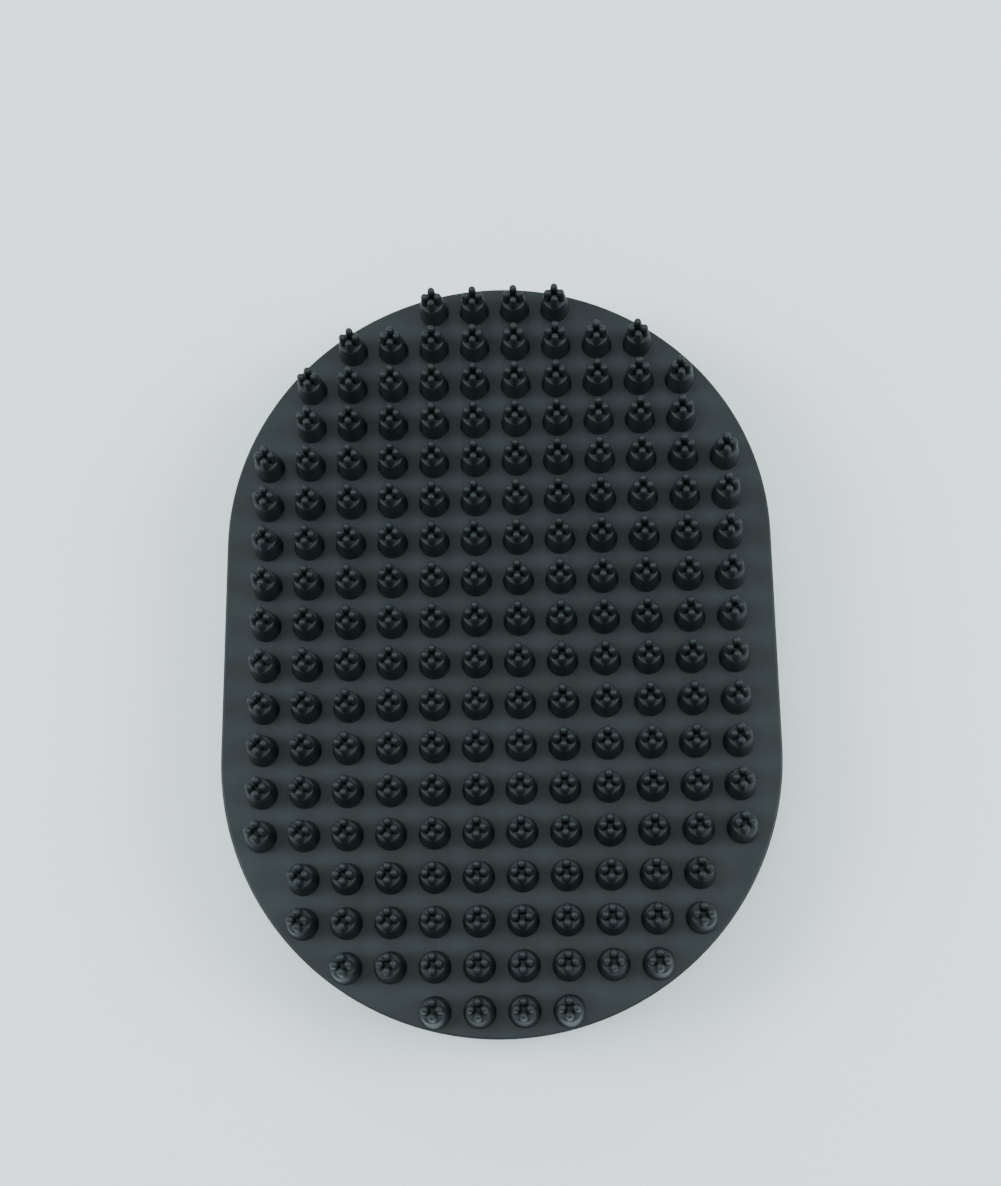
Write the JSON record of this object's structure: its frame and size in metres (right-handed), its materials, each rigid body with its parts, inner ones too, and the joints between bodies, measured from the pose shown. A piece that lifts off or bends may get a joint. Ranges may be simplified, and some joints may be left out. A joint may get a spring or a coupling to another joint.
{
  "type": "rubber curry brush",
  "caption": "Black rubber curry brush with 184 four-pin nubs and an adjustable webbing hand strap across its hollow back.",
  "frame": {"origin": "under the middle of the pad, on the surface that its rim rests on", "axes": "+Z the way the nubs point, +Y along the brush, +X across it"},
  "size_m": [0.091, 0.1274, 0.0221],
  "materials": {
    "black_rubber": "matte",
    "webbing": "woven",
    "hook_tape": "hooked pile",
    "loop_tape": "looped pile",
    "thread": "twisted thread"
  },
  "bodies": {
    "pad": {"rubber_pad": "black_rubber"},
    "strap": {"hand_strap": "webbing", "hook_patch": "hook_tape", "strap_bartack_front": "thread", "strap_bartack_rear": "thread"},
    "tab": {"strap_tab": "webbing", "loop_patch": "loop_tape", "tab_bartack_front": "thread", "tab_bartack_rear": "thread"}
  },
  "joints": [
    {"name": "strap_swing", "type": "hinge", "parent": "pad", "child": "strap", "pos_m": [-0.034, 0, 0.006], "axis": [0, 1, 0], "range_deg": [0, 100]},
    {"name": "tab_swing", "type": "hinge", "parent": "pad", "child": "tab", "pos_m": [0.034, 0, 0.006], "axis": [0, -1, 0], "range_deg": [0, 40]}
  ],
  "couplings": [
    {"joint": "tab_swing", "follows": "strap_swing", "ratio": 0.35}
  ]
}
